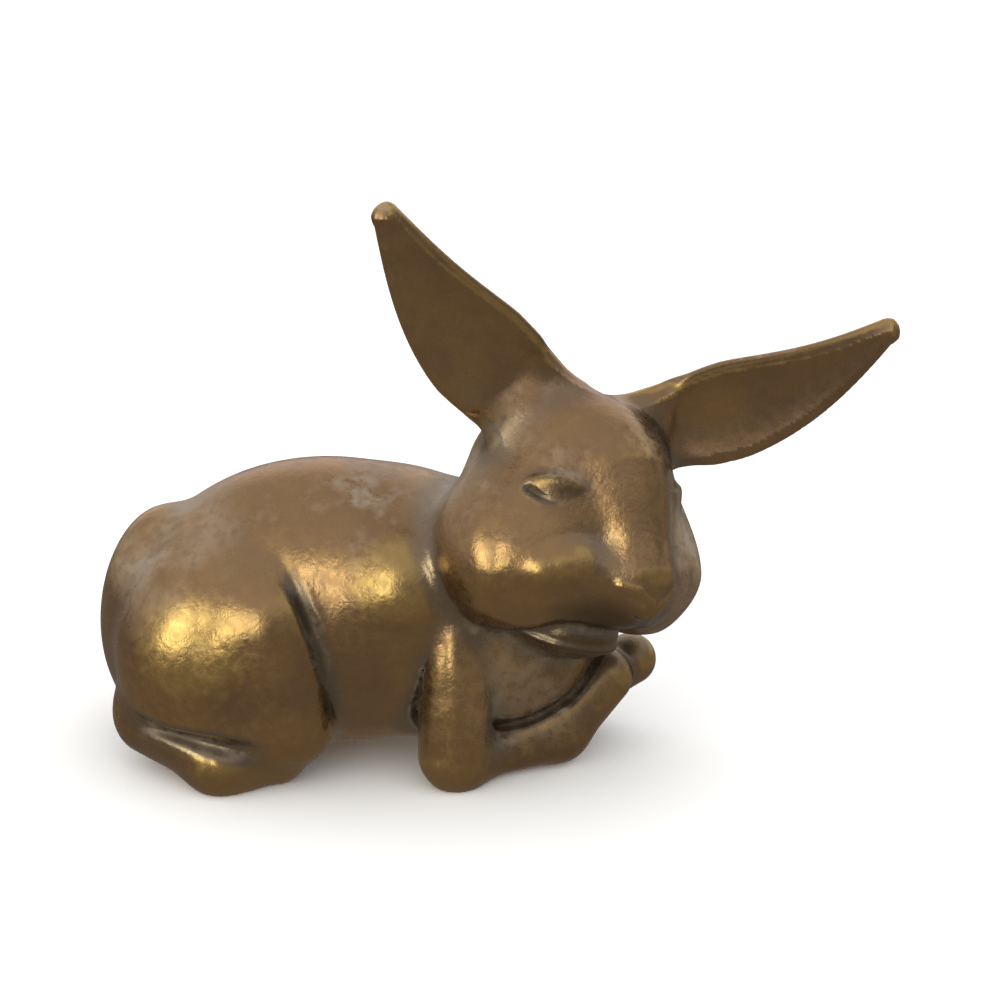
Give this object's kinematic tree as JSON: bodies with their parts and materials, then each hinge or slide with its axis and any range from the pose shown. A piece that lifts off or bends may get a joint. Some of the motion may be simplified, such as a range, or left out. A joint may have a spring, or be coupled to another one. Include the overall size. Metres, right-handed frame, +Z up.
{
  "type": "brass rabbit figurine",
  "caption": "Small solid brass rabbit ornament, lying down with its head turned to its right, leaf-shaped ears spread and paws folded; stands on a shelf or desk.",
  "frame": {"origin": "on the ground, under the middle of the outline's box", "axes": "+X from the tail towards the chest, +Y to the rabbit's left, +Z up"},
  "size_m": [0.1092, 0.0448, 0.0809],
  "materials": {
    "aged_brass": "cast and rubbed, darkened in the hollows",
    "plain_brass": "drawn rod"
  },
  "bodies": {
    "root": {"torso": "aged_brass", "head": "aged_brass", "right_ear": "aged_brass", "left_ear": "aged_brass", "right_foreleg": "aged_brass", "left_foreleg": "aged_brass", "right_hind_leg": "aged_brass", "left_hind_leg": "aged_brass", "tail": "aged_brass", "neck_dowel": "plain_brass", "tail_dowel": "plain_brass", "right_ear_dowel": "plain_brass", "left_ear_dowel": "plain_brass", "right_shoulder_dowel": "plain_brass", "left_shoulder_dowel": "plain_brass", "right_hip_dowel": "plain_brass", "left_hip_dowel": "plain_brass"}
  },
  "joints": []
}
